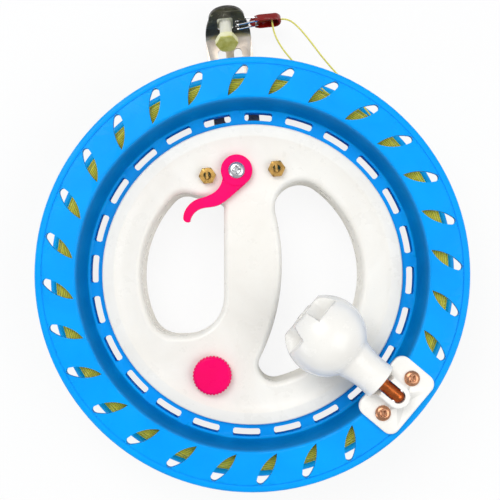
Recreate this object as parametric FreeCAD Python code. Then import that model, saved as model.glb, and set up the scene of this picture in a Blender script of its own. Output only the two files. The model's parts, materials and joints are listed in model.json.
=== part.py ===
import FreeCAD, Part
import math
import os
from FreeCAD import Placement, Rotation, Vector

# Kite line winder: a wheel that holds the line turns on a ring of steel balls around a
# moulded hand frame. Millimetres. The wheel's axis is +Z with the front face up, z = 0 is the
# flat back of the hand frame, and the steel line guide points along +Y.

# Wheel
WHEEL_R = 110.0
WHEEL_WIDTH = 44.0
RIM_LIFT = 5.0
FLANGE_T = 3.2
BEAD_WIDTH = 3.4
BEAD_DEPTH = 5.2
BEAD_ROUND = 1.6
RIM_GROOVE = 0.6
RIM_GROOVE_DEPTH = 0.4
WHEEL_WALL = 2.6
FLANGE_WIDTH = 20.7
WALL_LEAN = 3.1
FLOOR_WIDTH = 11.7
CREST_ROUND = 1.2
WEB_T = 3.5
SKIRT_T = 3.9
SKIRT_DEPTH = 8.5

# Leaf-shaped holes through both flanges
LEAF_COUNT = 28
LEAF_FIRST = 76.1
LEAF_IN_GAP = 1.5
LEAF_OUT_GAP = 4.4
LEAF_SWEEP = 6.2
LEAF_WIDTH = 5.6
LEAF_END_R = 1.9
LEAF_BLANKS = (9, 10)

# Long slots round the floor of the recess
SLOT_COUNT = 24
SLOT_FIRST = 82.1
SLOT_IN_GAP = 2.2
SLOT_WIDTH = 4.2
SLOT_ARC = 9.9
SLOT_CORNER = 0.7

# Ball race
BALL_D = 5.0
BALL_COUNT = 12
BALL_CLEAR = 0.05
RACE_GAP = 2.4
CAGE_T = 1.4
CAGE_HEIGHT = 6.2

# Hand frame
RUN_GAP = 0.4
RING_COVER = 2.5
RING_WIDTH = 6.5
RING_T = 2.3
RING_ROUND = 0.8
DISH_SLOPE = 4.1
DISH_DROP = 2.6
BACK_LIP_T = 2.3
FOOT_DRAFT = 2.3
FOOT_ROUND = 1.5
HUB_WALL = 5.3
SHELL_WALL = 2.4
BACK_WALL = 3.0
HOLE_EDGE_ROUND = 3.2
BACK_EDGE_CUT = 3.0

# Hand holes, in the grip's own frame, which is turned from the line guide's axis
GRIP_TURN = -5.8
LEFT_ARC_WALL = 15.0
LEFT_SIDE_X = -14.9
LEFT_TOP_DROP = 20.6
LEFT_TOP_SLOPE = -0.27
LEFT_BOTTOM_RISE = 26.1
LEFT_CORNERS = (4.0, 9.0, 14.0, 21.0)
LOW_LEFT_SHARE = 0.44
LOW_RIGHT_SHARE = 0.65
RIGHT_ARC_WALL = 15.7
RIGHT_SIDE_X = 15.5
RIGHT_SIDE_Y = 5.0
RIGHT_SIDE_R = 110.0
RIGHT_CORNERS = (14.0, 8.5)

# Screws that close the hand frame and the wheel
FRAME_SCREW_INSET = 9.0
FRAME_SCREW_ANGLES = (8.0, 128.0, 172.0, 212.0, 290.0)
FRAME_SCREW_D = 3.0
FRAME_SCREW_HEAD_D = 5.6
FRAME_SCREW_HEAD_H = 2.0
FRAME_SCREW_SEAT_Z = 14.0
FRAME_SCREW_BITE = 2.2
FRAME_COLUMN_D = 9.0
WHEEL_SCREW_COUNT = 4
WHEEL_SCREW_D = 2.4
WHEEL_SCREW_HEAD_D = 4.6
WHEEL_SCREW_HEAD_H = 1.5
WHEEL_SCREW_BITE = 2.6
SCREW_CLEAR = 0.1

# Brake: lever, crank, shoe and pad
BRAKE_ANGLE = 92.8258346
BRAKE_INSET = 18.5334043
LEVER_HUB_R = 8.2
LEVER_T = 3.3
LEVER_GAP = 0.3
STEM_D = 8.0
STEM_CLEAR = 0.05
SLEEVE_D = 13.0
SLEEVE_DEPTH = 1.6
CRANK_R = 7.4
CRANK_T = 3.0
CRANK_PIN_D = 3.0
CRANK_PIN_L = 4.6
CRANK_SLOT_L = 4.2
SHOE_HEIGHT = 5.0
SHOE_WIDTH = 16.0
SHOE_BACK = 8.0
SHOE_TRAVEL = 1.0
SHOE_GAP = 0.1
SHOE_CLEAR = 0.1
SHOE_Z = 16.4
PAD_T = 2.0
PAD_WIDTH = 12.0
GUIDE_WALL = 2.4
ROOM_INWARDS = 12.0
ROOM_HALF_W = 16.0
LEVER_SCREW_D = 4.0
LEVER_SCREW_HEAD_D = 8.5
LEVER_SCREW_HEAD_H = 1.7
BRAKE_TURN = 12.0

# Lock: knurled knob, spiral cam, shoe and pad
LOCK_ANGLE = -117.4276008
LOCK_INSET = 16.8552483
LOCK_KNOB_R = 10.1
LOCK_KNOB_H = 4.7
LOCK_TEETH = 34
LOCK_TOOTH_DEPTH = 0.6
LOCK_CAM_R = 6.0
LOCK_CAM_T = 4.4
LOCK_TURN = 120.0
LOCK_SCREW_D = 3.0
LOCK_SCREW_HEAD_D = 5.6
LOCK_SCREW_HEAD_H = 1.8
LOCK_SCREW_BITE = 9.0

# Line guide of bent steel sheet
SHEET_T = 1.8
SHEET_TOP_Z = 4.2
BASE_HALF_W = 24.0
BASE_INSET = 27.3
BASE_LENGTH = 16.0
NECK_OUT = 0.7
LEG_HALF_W = 12.5
LEG_W = 5.8
MID_BAR_W = 4.3
LEG_GAP_START = 10.7
LEG_GAP_END = 5.7
BEND_REACH = 20.5
HOOD_ANGLE = 58.0
HOOD_HALF_W = 12.4
HOOD_RIGHT_SIDE = ((11.9, 7.0), (9.7, 14.6))
HOOD_RIGHT_SHOULDER = ((8.2, 19.4), (5.0, 22.2))
HOOD_CROWN = ((0.0, 23.3), (-5.0, 22.2))
HOOD_LEFT_SHOULDER = ((-8.2, 19.4), (-9.7, 14.6))
HOOD_LEFT_SIDE = ((-11.9, 7.0), (-12.4, 0.0))
WINDOW_HALF_W = 4.2
WINDOW_LOW = 6.4
WINDOW_HIGH = 16.0
WINDOW_CORNER = 1.2
SHEET_CLEAR = 0.3
BOLT_HALF_SPACING = 18.1
BOLT_INSET = 19.8
BOLT_D = 4.0
BOLT_HEAD_D = 7.6
BOLT_HEAD_H = 1.7
BOLT_COLUMN_D = 9.0
BOLT_END = 0.9
NUT_AF = 7.9
NUT_H = 3.2

# Nylon guide post through the hood
POST_X = -1.0
POST_ALONG = 10.6
POST_D = 6.6
POST_REACH = 10.0
POST_HEAD_AF = 10.6
POST_HEAD_H = 4.0
POST_NUT_H = 4.0
POST_NUT_AF = 10.0
POST_END = 1.2

# Wire rings and anodised clip that keep the loose end of the line
RING_WIRE_D = 0.9
RING_WIRE_SIDES = 6
RING_ALONG = (8.6, 12.2)
RING_X0 = 5.4
RING_X1 = (17.0, 18.6)
RING_WIDE_END = (2.4, 2.9)
RING_EYE_R = 0.72
RING_HOLE_D = 2.6
CLIP_X0 = 12.3
CLIP_LENGTH = 17.0
CLIP_WIDTH = 7.0
CLIP_DEPTH = 4.6
CLIP_TAPER = 5.5
CLIP_WALL = 1.1
CLIP_FLOOR = 0.6
CLIP_EDGE = 0.7
CLIP_SLOT_END = 15.4
CLIP_PIN_D = 0.9
PIN_CLEAR = 0.08

# Folding winding knob on the front flange
KNOB_ANGLE = -45.7
PLATE_RIM_GAP = 4.0
PLATE_LENGTH = 24.0
PLATE_HALF_W = 18.0
PLATE_T = 3.5
PLATE_CORNER = 5.0
PLATE_EDGE = 0.7
PLATE_SCREW_INSET = 11.6
PLATE_SCREW_HALF = 11.3
PLATE_SCREW_D = 3.6
PLATE_SCREW_HEAD_D = 7.8
PLATE_SCREW_HEAD_H = 1.7
PLATE_SCREW_BOSS_D = 7.6
PLATE_SCREW_BOSS_H = 3.0
HINGE_INSET = 12.2
HINGE_RISE = 4.0
CHEEK_T = 2.6
CHEEK_RISE = 3.2
CHEEK_EDGE = 0.6
CHEEK_REACH = 8.0
SPINDLE_D = 6.4
SPINDLE_SIDE_GAP = 0.25
HINGE_PIN_D = 2.5
KNOB_START = 11.0
BALL_CENTRE = 46.4
KNOB_BALL_R = 20.3
KNOB_END = 15.6
KNOB_NECK_R = 9.6
KNOB_WAIST_R = 9.2
KNOB_WAIST_RISE = 8.0
KNOB_NECK_ROUND = 0.8
KNOB_MEET_ANGLE = 34.0
NECK_ROOM = 0.5
KNOB_CUP_R = 6.5
KNOB_CUP_DEPTH = 5.5
POCKET_COUNT = 4
POCKET_FIRST = 36.0
POCKET_ARC = 50.0
POCKET_IN_R = 9.4
POCKET_DEPTH = 7.1
KNOB_WASHER_D = 9.0
KNOB_WASHER_T = 1.0
WASHER_LIFT = 0.35
KNOB_SCREW_D = 3.0
KNOB_SCREW_HEAD_D = 5.6
KNOB_SCREW_HEAD_H = 2.0
KNOB_SCREW_BITE = 9.0
TURN_CLEAR = 0.06

# Line on the drum
PACK_DROP = 11.0
PACK_SIDE_GAP = 0.3
PACK_SHOULDER = 2.2
LINE_D = 1.5
WIND_TURNS = 13
WIND_SIT = 0.2
WIND_START = 118.0
STRAND_D = 0.9
STRAND_SIDES = 6

# Routes of the two loose strands, from the clip to the wound line
LEFT_ROUTE = (
    (24.4, 137.438, 11.219),
    (24.4, 133.129, 13.912),
    (24.9, 127.6, 14.9),
    (27.6, 120.2, 16.0),
    (32.6, 112.2, 17.2),
    (39.2, 103.4, 18.2),
    (47.4, 94.6, 18.6),
    (56.2, 85.8, 18.8),
    (65.2, 77.6, 19.0),
)
RIGHT_ROUTE = (
    (29.29, 136.011, 12.120),
    (32.9, 136.011, 12.120),
    (38.0, 131.2, 12.7),
    (43.4, 122.6, 14.6),
    (49.6, 111.4, 16.8),
    (57.4, 100.2, 18.2),
    (66.0, 87.0, 19.2),
    (76.4, 69.4, 20.4),
    (85.6, 54.6, 21.2),
)

# Worked-out sizes
CREST_R = WHEEL_R - FLANGE_WIDTH
RECESS_FLOOR_R = CREST_R - WALL_LEAN
TRACK_R = RECESS_FLOOR_R - FLOOR_WIDTH
LEAF_IN_R = CREST_R + LEAF_IN_GAP
LEAF_OUT_R = WHEEL_R - LEAF_OUT_GAP
PACK_R = WHEEL_R - PACK_DROP
PLATE_R1 = WHEEL_R - PLATE_RIM_GAP
PLATE_R0 = PLATE_R1 - PLATE_LENGTH
PLATE_SCREW_R = PLATE_R1 - PLATE_SCREW_INSET
HINGE_R = PLATE_R1 - HINGE_INSET
MID_Z = RIM_LIFT + WHEEL_WIDTH / 2
HALF_W = WHEEL_WIDTH / 2
FRONT_Z = MID_Z + HALF_W
GROOVE_DEPTH = (BALL_D / 2 + BALL_CLEAR) * math.sqrt(2)
BORE_R = TRACK_R + RACE_GAP / 2
HUB_R = TRACK_R - RACE_GAP / 2
RING_R = BORE_R + RING_COVER
RING_IN_R = RING_R - RING_WIDTH
DISH_R = RING_IN_R - DISH_SLOPE
FOOT_R = HUB_R - FOOT_DRAFT
SHELL_R = HUB_R - HUB_WALL
SLOT_IN_R = RING_R + SLOT_IN_GAP
SLOT_OUT_R = SLOT_IN_R + SLOT_WIDTH
LEFT_ARC_R = HUB_R - LEFT_ARC_WALL
LEFT_TOP_Y = LEFT_ARC_R - LEFT_TOP_DROP
LEFT_BOTTOM_Y = LEFT_BOTTOM_RISE - LEFT_ARC_R
RIGHT_ARC_R = HUB_R - RIGHT_ARC_WALL
FRAME_SCREW_R = HUB_R - FRAME_SCREW_INSET
GROOVE_H = GROOVE_DEPTH - RACE_GAP / 2
DRUM_MID_R = RECESS_FLOOR_R + WHEEL_WALL
DRUM_TOP_R = CREST_R + WHEEL_WALL - 0.4
RING_LOW_Z = MID_Z + WEB_T + RUN_GAP
RING_TOP_Z = RING_LOW_Z + RING_T
DISH_Z = RING_TOP_Z - DISH_DROP
LIP_TOP_Z = MID_Z - WEB_T - SKIRT_DEPTH - RUN_GAP
SHOE_TOP_Z = SHOE_Z + SHOE_HEIGHT
CRANK_LOW_Z = SHOE_TOP_Z + 0.6
STEM_LOW_Z = CRANK_LOW_Z + CRANK_T
LEVER_LOW_Z = DISH_Z + LEVER_GAP
LEVER_TOP_Z = LEVER_LOW_Z + LEVER_T
BRAKE_R = HUB_R - BRAKE_INSET
BRAKE_X = BRAKE_R * math.cos(math.radians(BRAKE_ANGLE))
BRAKE_Y = BRAKE_R * math.sin(math.radians(BRAKE_ANGLE))
LOCK_R = HUB_R - LOCK_INSET
LOCK_X = LOCK_R * math.cos(math.radians(LOCK_ANGLE))
LOCK_Y = LOCK_R * math.sin(math.radians(LOCK_ANGLE))
PAD_FACE_R = BORE_R - SHOE_TRAVEL - SHOE_GAP
CRANK_THROW = SHOE_TRAVEL / math.sin(math.radians(BRAKE_TURN))
SHEET_LOW_Z = SHEET_TOP_Z - SHEET_T
BOLT_Y = HUB_R - BOLT_INSET
BASE_Y0 = HUB_R - BASE_INSET
BASE_Y1 = BASE_Y0 + BASE_LENGTH
NECK_Y = HUB_R + NECK_OUT
BEND_Y = WHEEL_R + BEND_REACH
LEG_GAP_Y0 = HUB_R + LEG_GAP_START
LEG_GAP_Y1 = BEND_Y - LEG_GAP_END
PLATE_TOP_Z = FRONT_Z + PLATE_T
HINGE_Z = PLATE_TOP_Z + HINGE_RISE
AXIS_Z = Vector(0, 0, 1)
THROUGH = 60.0


def at(x, y, z=0.0):
    return Vector(x, y, z)


def wire_of(start, steps, lift):
    """A closed wire from a start point and steps, each an end point or a (middle, end) arc."""
    edges = []
    here = lift(start)
    for step in steps:
        if isinstance(step[0], tuple):
            middle, end = lift(step[0]), lift(step[1])
            edges.append(Part.Arc(here, middle, end).toShape())
        else:
            end = lift(step)
            edges.append(Part.LineSegment(here, end).toShape())
        here = end
    if (here - lift(start)).Length > 1e-6:
        edges.append(Part.LineSegment(here, lift(start)).toShape())
    return Part.Wire(edges)


def turned(start, *steps):
    """A solid of revolution about Z from a profile of (radius, height) points."""
    face = Part.Face(wire_of(start, steps, lambda p: Vector(p[0], 0, p[1])))
    return face.revolve(Vector(0, 0, 0), AXIS_Z, 360)


def plate(start, *steps, z0, z1):
    """A flat plate between two heights from an outline of (x, y) points."""
    face = Part.Face(wire_of(start, steps, lambda p: Vector(p[0], p[1], z0)))
    return face.extrude(Vector(0, 0, z1 - z0))


def quarter(cx, cy, radius, a0, a1):
    """Middle and end of an arc about (cx, cy), for wire_of."""
    middle = math.radians((a0 + a1) / 2)
    end = math.radians(a1)
    return (
        (cx + radius * math.cos(middle), cy + radius * math.sin(middle)),
        (cx + radius * math.cos(end), cy + radius * math.sin(end)),
    )


def rod(x, y, z0, z1, diameter):
    return Part.makeCylinder(diameter / 2, z1 - z0, at(x, y, z0))


def box(x0, x1, y0, y1, z0, z1):
    return Part.makeBox(x1 - x0, y1 - y0, z1 - z0, at(x0, y0, z0))


def hexagon(x, y, z0, z1, across_flats):
    """A hex prism with its top and bottom corners turned off at 30 degrees."""
    r = across_flats / math.sqrt(3)
    corners = [
        at(x + r * math.cos(math.radians(60 * k)), y + r * math.sin(math.radians(60 * k)), z0)
        for k in range(7)
    ]
    prism = Part.Face(Part.makePolygon(corners)).extrude(Vector(0, 0, z1 - z0))
    drop = (r - across_flats / 2) * math.tan(math.radians(30)) + 0.02
    turned_off = Part.makeCylinder(r, z1 - z0 - 2 * drop, at(x, y, z0 + drop))
    low = Part.makeCone(across_flats / 2, r, drop, at(x, y, z0))
    high = Part.makeCone(r, across_flats / 2, drop, at(x, y, z1 - drop))
    return prism.common(turned_off.fuse([low, high]))


def spun(shape, angle, x=0.0, y=0.0):
    """A copy turned about a vertical axis through (x, y)."""
    copy = shape.copy()
    copy.rotate(at(x, y), AXIS_Z, angle)
    return copy


def around(shape, count, first=0.0, skip=()):
    """Copies of a shape at equal angles about the wheel's axis, clockwise from the first."""
    return [spun(shape, first - 360.0 * k / count) for k in range(count) if k not in skip]


def front_to_back(shape):
    """The mirror image of a shape in the wheel's middle plane."""
    return shape.mirror(at(0, 0, MID_Z), AXIS_Z)


def pan_head(x, y, z, diameter, height):
    """A domed screw head that sits on height z and points up."""
    r = diameter / 2
    face = Part.Face(
        wire_of(
            (0, 0),
            [(r, 0), (r, height * 0.35), ((r * 0.78, height * 0.84), (r * 0.3, height)), (0, height)],
            lambda p: Vector(p[0], 0, p[1]),
        )
    )
    head = face.revolve(Vector(0, 0, 0), AXIS_Z, 360)
    head.translate(at(x, y, z))
    return head


def cross_recess(x, y, z, size, depth):
    """The cross-shaped drive in a screw head whose top is at height z."""
    arm = size * 0.26
    long_way = box(x - size / 2, x + size / 2, y - arm / 2, y + arm / 2, z - depth, z + 1)
    return long_way.fuse(spun(long_way, 90, x, y))


def export(name, shape):
    shape = shape.removeSplitter()
    shape.exportStep("parts/" + name + ".step")
    print(name, len(shape.Solids), "solids, volume", round(shape.Volume, 1))


def group(shapes):
    """Separate solids of one node."""
    return Part.makeCompound([s for shape in shapes for s in shape.removeSplitter().Solids])


# Wheel halves


def wheel_shell():
    """The front half: race flank, floor, conical recess wall, flange and beaded rim."""
    top = FRONT_Z
    low = top - FLANGE_T
    bead_in = WHEEL_R - BEAD_WIDTH
    bevel = BEAD_ROUND * (1 - math.sqrt(0.5))
    return turned(
        (TRACK_R + GROOVE_DEPTH, MID_Z),
        (BORE_R, MID_Z + GROOVE_H),
        (BORE_R, MID_Z + WEB_T),
        (RECESS_FLOOR_R, MID_Z + WEB_T),
        (CREST_R, top - CREST_ROUND),
        (CREST_R + CREST_ROUND * 0.3, top - CREST_ROUND * 0.3),
        (CREST_R + CREST_ROUND, top),
        (bead_in - RIM_GROOVE, top),
        (bead_in - RIM_GROOVE, top - RIM_GROOVE_DEPTH),
        (bead_in, top - RIM_GROOVE_DEPTH),
        (bead_in, top),
        (WHEEL_R - BEAD_ROUND, top),
        (WHEEL_R - bevel, top - bevel),
        (WHEEL_R, top - BEAD_ROUND),
        (WHEEL_R, top - BEAD_DEPTH + BEAD_ROUND),
        (WHEEL_R - bevel, top - BEAD_DEPTH + bevel),
        (WHEEL_R - BEAD_ROUND, top - BEAD_DEPTH),
        (bead_in + 0.4, top - BEAD_DEPTH),
        (bead_in - RIM_GROOVE - 0.8, low),
        (DRUM_TOP_R, low),
        (DRUM_MID_R, MID_Z),
    )


def leaf_hole():
    """One slanted leaf through the front flange, at polar angle zero: pointed inside, round outside."""
    sweep = math.radians(LEAF_SWEEP)
    inner = at(LEAF_IN_R * math.cos(sweep / 2), LEAF_IN_R * math.sin(sweep / 2))
    outer = at(LEAF_OUT_R * math.cos(sweep / 2), -LEAF_OUT_R * math.sin(sweep / 2))
    along = (outer - inner).normalize()
    across = at(-along.y, along.x)
    length = (outer - inner).Length
    half = LEAF_WIDTH / 2
    belly = inner + along * (length * 0.56)
    cap = inner + along * (length - LEAF_END_R)
    ends = [cap + (along * 0.35 + across * (side * 0.93)) * LEAF_END_R for side in (-1, 1)]
    low, high = FRONT_Z - FLANGE_T - 1, FRONT_Z + 1
    bellies = [belly + across * (side * half) for side in (-1, 1)]

    def flat(p):
        return (p.x, p.y)

    return plate(
        flat(inner),
        (flat(bellies[0]), flat(ends[0])),
        (flat(inner + along * length), flat(ends[1])),
        (flat(bellies[1]), flat(inner)),
        z0=low,
        z1=high,
    )


def floor_slot():
    """One slot with cut corners through both halves of the floor, at polar angle zero."""
    half = math.radians(SLOT_ARC / 2)
    cut_in = half - SLOT_CORNER / SLOT_IN_R
    cut_out = half - SLOT_CORNER / SLOT_OUT_R

    def polar(r, a):
        return (r * math.cos(a), r * math.sin(a))

    return plate(
        polar(SLOT_IN_R, -cut_in),
        (polar(SLOT_IN_R, 0), polar(SLOT_IN_R, cut_in)),
        polar(SLOT_IN_R + SLOT_CORNER, half),
        polar(SLOT_OUT_R - SLOT_CORNER, half),
        polar(SLOT_OUT_R, cut_out),
        (polar(SLOT_OUT_R, 0), polar(SLOT_OUT_R, -cut_out)),
        polar(SLOT_OUT_R - SLOT_CORNER, -half),
        polar(SLOT_IN_R + SLOT_CORNER, -half),
        z0=MID_Z - WEB_T - 1,
        z1=MID_Z + WEB_T + 1,
    )


def plate_screw_spots():
    """Centres of the two knob plate screws."""
    a = math.radians(KNOB_ANGLE)
    u = at(math.cos(a), math.sin(a))
    v = at(-math.sin(a), math.cos(a))
    return [u * PLATE_SCREW_R + v * (side * PLATE_SCREW_HALF) for side in (-1, 1)]


def wheel_screw_spots():
    """Centres of the screws that join the wheel halves, between the floor slots."""
    r = (SLOT_IN_R + SLOT_OUT_R) / 2
    pitch = 360.0 / SLOT_COUNT
    spots = []
    for k in range(WHEEL_SCREW_COUNT):
        step = round(k * SLOT_COUNT / WHEEL_SCREW_COUNT)
        a = math.radians(SLOT_FIRST - pitch / 2 - pitch * step)
        spots.append(at(r * math.cos(a), r * math.sin(a)))
    return spots


def make_wheel():
    shell = wheel_shell()
    leaves = around(leaf_hole(), LEAF_COUNT, LEAF_FIRST, LEAF_BLANKS)
    slots = around(floor_slot(), SLOT_COUNT, SLOT_FIRST)
    bite_top = MID_Z + WHEEL_SCREW_BITE
    bites = [rod(p.x, p.y, MID_Z - 1, bite_top, WHEEL_SCREW_D) for p in wheel_screw_spots()]

    front = shell
    for p in plate_screw_spots():
        low = FRONT_Z - FLANGE_T - PLATE_SCREW_BOSS_H
        front = front.fuse(rod(p.x, p.y, low, FRONT_Z - 1, PLATE_SCREW_BOSS_D))
        leaves.append(rod(p.x, p.y, low + 0.8, FRONT_Z + 1, PLATE_SCREW_D))
    front = front.cut(Part.makeCompound(leaves + slots + bites))
    export("wheel_front", front)

    skirt_low = MID_Z - WEB_T - SKIRT_DEPTH
    skirt = turned(
        (BORE_R, skirt_low),
        (BORE_R + SKIRT_T, skirt_low),
        (BORE_R + SKIRT_T, MID_Z - WEB_T + 0.5),
        (BORE_R, MID_Z - WEB_T + 0.5),
    )
    back_leaves = [front_to_back(leaf) for leaf in around(leaf_hole(), LEAF_COUNT, LEAF_FIRST)]
    back = front_to_back(shell).fuse(skirt)
    cuts = list(back_leaves) + slots
    for p in wheel_screw_spots():
        web_low = MID_Z - WEB_T
        cuts.append(rod(p.x, p.y, web_low - 1, MID_Z + 1, WHEEL_SCREW_D + 2 * SCREW_CLEAR))
        seat = web_low + WHEEL_SCREW_HEAD_H
        cuts.append(rod(p.x, p.y, web_low - 1, seat, WHEEL_SCREW_HEAD_D + 4 * SCREW_CLEAR))
    export("wheel_back", back.cut(Part.makeCompound(cuts)))

    screws = []
    for p in wheel_screw_spots():
        seat = MID_Z - WEB_T + WHEEL_SCREW_HEAD_H
        head = rod(p.x, p.y, seat - WHEEL_SCREW_HEAD_H, seat, WHEEL_SCREW_HEAD_D)
        screws.append(head.fuse(rod(p.x, p.y, seat, bite_top - 0.2, WHEEL_SCREW_D)))
    export("wheel_screws", group(screws))


# Ball race


def make_race():
    ball = Part.makeSphere(BALL_D / 2, at(TRACK_R, 0, MID_Z))
    export("bearing_balls", group(around(ball, BALL_COUNT)))
    r0 = TRACK_R - CAGE_T / 2
    r1 = TRACK_R + CAGE_T / 2
    low = MID_Z - CAGE_HEIGHT / 2
    high = MID_Z + CAGE_HEIGHT / 2
    cage = turned((r0, low), (r1, low), (r1, high), (r0, high))
    room = BALL_D / 2 + BALL_CLEAR
    pocket = box(TRACK_R - CAGE_T, TRACK_R + CAGE_T, -room, room, MID_Z - room, MID_Z + room)
    export("ball_cage", cage.cut(Part.makeCompound(around(pocket, BALL_COUNT))))


# Hand frame


def rounded_prism(prism, corners):
    """A prism with its upright edges rounded; corners holds (x, y, radius)."""
    for x, y, radius in corners:
        edges = [
            e for e in prism.Edges
            if len(e.Vertexes) == 2
            and abs(e.Vertexes[0].X - e.Vertexes[1].X) < 1e-6
            and abs(e.Vertexes[0].Y - e.Vertexes[1].Y) < 1e-6
        ]
        nearest = min(edges, key=lambda e: math.hypot(e.Vertexes[0].X - x, e.Vertexes[0].Y - y))
        prism = prism.makeFillet(radius, [nearest])
    return prism


def left_hole(grow, z0, z1):
    """The left hand hole, grown outwards by a wall where one is asked for."""
    slant = math.hypot(1, LEFT_TOP_SLOPE)

    def top_y(x):
        return LEFT_TOP_Y + LEFT_TOP_SLOPE * (x - LEFT_SIDE_X) + grow * slant

    side = LEFT_SIDE_X + grow
    low = LEFT_BOTTOM_Y - grow
    radius = LEFT_ARC_R + grow
    far = -radius - 10
    disc = Part.makeCylinder(radius, z1 - z0, at(0, 0, z0))
    window = plate((side, top_y(side)), (far, top_y(far)), (far, low), (side, low), z0=z0, z1=z1)
    prism = disc.common(window)
    top_right, top_left, low_left, low_right = LEFT_CORNERS
    left_low_x = -math.sqrt(radius ** 2 - low ** 2)
    floor = side - left_low_x
    spots = (
        (side, top_y(side), top_right + grow),
        (-radius * 0.69, radius * 0.73, top_left + grow),
        (left_low_x, low, min(low_left + grow, LOW_LEFT_SHARE * floor)),
        (side, low, min(low_right + grow, LOW_RIGHT_SHARE * floor)),
    )
    return spun(rounded_prism(prism, spots), GRIP_TURN)


def right_hole(grow, z0, z1):
    """The right hand hole, bounded by the curved side of the grip."""
    radius = RIGHT_ARC_R + grow
    disc = Part.makeCylinder(radius, z1 - z0, at(0, 0, z0))
    grip_r = RIGHT_SIDE_R - grow
    grip = Part.makeCylinder(grip_r, z1 - z0, at(RIGHT_SIDE_X - RIGHT_SIDE_R, RIGHT_SIDE_Y, z0))
    prism = disc.cut(grip)
    top, low = RIGHT_CORNERS
    spots = ((5, radius, top + grow), (-3, -radius, low + grow))
    return spun(rounded_prism(prism, spots), GRIP_TURN)


def bolt_spots():
    return [at(-BOLT_HALF_SPACING, BOLT_Y), at(BOLT_HALF_SPACING, BOLT_Y)]


def frame_screw_spots():
    return [
        at(FRAME_SCREW_R * math.cos(math.radians(a)), FRAME_SCREW_R * math.sin(math.radians(a)))
        for a in FRAME_SCREW_ANGLES
    ]


def sheet_outline(grow, z0, z1):
    """The flat part of the line guide from its base to the bend."""
    base = BASE_HALF_W + grow
    leg = LEG_HALF_W + grow
    low = BASE_Y0 - grow
    high = BASE_Y1 + grow
    round_r = 4.0
    return plate(
        (base - round_r, low),
        quarter(base - round_r, low + round_r, round_r, -90, 0),
        (base, high),
        (leg, NECK_Y),
        (leg, BEND_Y),
        (-leg, BEND_Y),
        (-leg, NECK_Y),
        (-base, high),
        (-base, low + round_r),
        quarter(-base + round_r, low + round_r, round_r, 180, 270),
        z0=z0,
        z1=z1,
    )


def radial_box(angle, u0, u1, half_v, z0, z1):
    """A box along the radius at an angle."""
    return spun(box(u0, u1, -half_v, half_v, z0, z1), angle)


def guide_rails(angle, pivot_r):
    """Block and rails that carry one shoe."""
    half = SHOE_WIDTH / 2 + SHOE_CLEAR
    back = pivot_r - SHOE_BACK - 1
    block = radial_box(angle, back, SHELL_R + 1, half + GUIDE_WALL, BACK_WALL, SHOE_TOP_Z + 0.2)
    channel = radial_box(angle, back - 1, WHEEL_R, half, SHOE_Z - SHOE_CLEAR, MID_Z)
    return block.cut(channel)


def shoe_window(angle):
    """The opening in the hub wall that a shoe comes out of."""
    half = SHOE_WIDTH / 2 + SHOE_CLEAR
    return radial_box(
        angle, SHELL_R - 3, RING_R, half, SHOE_Z - SHOE_CLEAR, SHOE_TOP_Z + SHOE_CLEAR
    )


def frame_cavity():
    """The two rooms of brake and lock in the hand frame, less the walls, columns and rails in them."""
    top = DISH_Z - SHELL_WALL
    hollow = Part.makeCylinder(SHELL_R, top - BACK_WALL, at(0, 0, BACK_WALL))
    rooms = []
    for angle, r in ((BRAKE_ANGLE, BRAKE_R), (LOCK_ANGLE, LOCK_R)):
        rooms.append(radial_box(angle, r - ROOM_INWARDS, WHEEL_R, ROOM_HALF_W, 0, THROUGH))
    hollow = hollow.common(Part.makeCompound(rooms))
    keep = [
        left_hole(SHELL_WALL, BACK_WALL - 1, top + 1),
        right_hole(SHELL_WALL, BACK_WALL - 1, top + 1),
        sheet_outline(SHELL_WALL, BACK_WALL - 1, SHEET_TOP_Z + SHELL_WALL),
        guide_rails(BRAKE_ANGLE, BRAKE_R),
        guide_rails(LOCK_ANGLE, LOCK_R),
    ]
    for p in bolt_spots():
        keep.append(rod(p.x, p.y, BACK_WALL - 1, top + 1, BOLT_COLUMN_D))
    for p in frame_screw_spots():
        keep.append(rod(p.x, p.y, BACK_WALL - 1, top + 1, FRAME_COLUMN_D))
    for x, y in ((BRAKE_X, BRAKE_Y), (LOCK_X, LOCK_Y)):
        keep.append(rod(x, y, MID_Z, top + 1, SLEEVE_D))
    return hollow.cut(keep)


def hole_edges(solid, height):
    """The hand holes' edges on one flat face."""
    reach = max(LEFT_ARC_R, RIGHT_ARC_R) + 0.5
    edges = []
    for e in solid.Edges:
        b = e.BoundBox
        level = abs(b.ZMin - height) < 1e-4 and abs(b.ZMax - height) < 1e-4
        if level and max(abs(b.XMin), abs(b.XMax), abs(b.YMin), abs(b.YMax)) < reach:
            edges.append(e)
    return edges


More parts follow.
